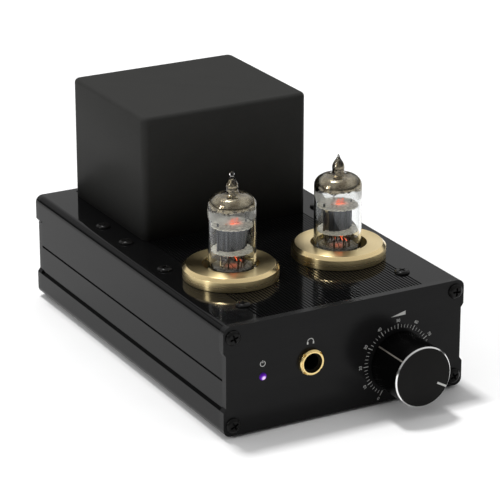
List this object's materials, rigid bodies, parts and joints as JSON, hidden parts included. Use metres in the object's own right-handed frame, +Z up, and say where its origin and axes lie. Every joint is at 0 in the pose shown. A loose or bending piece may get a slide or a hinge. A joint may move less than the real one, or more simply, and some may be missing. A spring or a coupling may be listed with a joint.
{
  "type": "headphone amplifier",
  "caption": "Black extruded desktop headphone amplifier with plug-in miniature tubes in brass rings, a square transformer cover, a volume knob, a headphone jack and a power light.",
  "frame": {"origin": "on the surface that the feet stand on, under the middle of the whole object", "axes": "+X right, +Y rear, +Z up, seen from the front"},
  "size_m": [0.105, 0.195, 0.0962],
  "materials": {
    "black_anodised_case": "satin black anodised extrusion",
    "black_anodised_panel": "matte black anodised plate",
    "black_screw": "black oxide, Phillips recess",
    "foot_rubber": "matte",
    "cover_paint": "soft satin black powder coat",
    "zinc_steel": "zinc plated",
    "core_iron": "varnished laminations",
    "coil_tape": "wound coil under yellow tape",
    "ring_brass": "fine turned, bright chamfer",
    "tube_glass": "clear, with a silvered top",
    "anode_metal": "dark carbonised nickel",
    "mica": "white coated mica",
    "cathode_white": "oxide coated nickel sleeve, glowing",
    "getter_metal": "flashed ring",
    "pin_nickel": "bright nickel",
    "socket_phenolic": "moulded phenolic",
    "contact_metal": "nickel plated",
    "circuit_board": "green solder mask",
    "capacitor_sleeve": "shrink sleeve",
    "film_capacitor_case": "moulded",
    "resistor_body": "lacquered",
    "epoxy_black": "moulded epoxy",
    "plain_aluminium": "mill finish",
    "knob_black": "satin black anodised, diamond-cut rim",
    "pointer_white": "white filled line",
    "jack_black": "moulded",
    "gold_plate": "gold plated",
    "rca_nickel": "nickel plated",
    "rca_plastic": "moulded",
    "led_lens": "violet, lit",
    "black_plastic": "moulded",
    "rocker_black": "moulded"
  },
  "bodies": {
    "chassis": {"upper_shell": "black_anodised_case", "lower_shell": "black_anodised_case", "front_panel": "black_anodised_panel", "rear_panel": "black_anodised_panel", "panel_screws": "black_screw", "deck_screws": "black_screw", "rubber_feet": "foot_rubber", "transformer_cover": "cover_paint", "underside_screws": "zinc_steel", "transformer_core": "core_iron", "transformer_coil": "coil_tape", "transformer_strap": "zinc_steel", "strap_bolts": "zinc_steel", "left_tube_ring": "ring_brass", "right_tube_ring": "ring_brass", "left_tube_socket": "socket_phenolic", "right_tube_socket": "socket_phenolic", "socket_contacts": "contact_metal", "tube_board": "circuit_board", "main_board": "circuit_board", "board_posts": "zinc_steel", "board_screws": "zinc_steel", "filter_capacitors": "capacitor_sleeve", "film_capacitors": "film_capacitor_case", "resistors": "resistor_body", "bridge_rectifier": "epoxy_black", "heat_sinks": "plain_aluminium", "output_transistors": "epoxy_black", "volume_pot": "plain_aluminium", "pot_nut": "zinc_steel", "headphone_jack": "jack_black", "jack_bushing": "gold_plate", "jack_nut": "gold_plate", "power_led": "led_lens", "rca_shells": "rca_nickel", "rca_insulators": "rca_plastic", "rca_contacts": "gold_plate", "rca_nuts": "zinc_steel", "iec_inlet": "black_plastic", "iec_blades": "contact_metal", "inlet_screws": "black_screw", "power_switch": "black_plastic"},
    "volume_control": {"volume_knob": "knob_black", "knob_pointer": "pointer_white", "knob_set_screw": "zinc_steel", "pot_shaft": "zinc_steel"},
    "left_tube": {"left_tube_glass": "tube_glass", "left_tube_anode": "anode_metal", "left_tube_micas": "mica", "left_tube_cathode": "cathode_white", "left_tube_getter": "getter_metal", "left_tube_pins": "pin_nickel"},
    "right_tube": {"right_tube_glass": "tube_glass", "right_tube_anode": "anode_metal", "right_tube_micas": "mica", "right_tube_cathode": "cathode_white", "right_tube_getter": "getter_metal", "right_tube_pins": "pin_nickel"},
    "fuse_carrier": {"fuse_drawer": "black_plastic"},
    "power_rocker": {"switch_rocker": "rocker_black"}
  },
  "joints": [
    {"name": "volume_turn", "type": "hinge", "parent": "chassis", "child": "volume_control", "pos_m": [0.023, -0.0887, 0.017], "axis": [0, 1, 0], "range_deg": [-269, 31]},
    {"name": "left_tube_lift", "type": "slide", "parent": "chassis", "child": "left_tube", "axis": [0, 0, 1], "range_m": [0, 0.02]},
    {"name": "right_tube_lift", "type": "slide", "parent": "chassis", "child": "right_tube", "axis": [0, 0, 1], "range_m": [0, 0.02]},
    {"name": "fuse_pull", "type": "slide", "parent": "chassis", "child": "fuse_carrier", "axis": [0, 1, 0], "range_m": [0, 0.023]},
    {"name": "power_rock", "type": "hinge", "parent": "chassis", "child": "power_rocker", "pos_m": [0.0145, 0.0848, 0.023], "axis": [1, 0, 0], "range_deg": [-20, 0]}
  ]
}
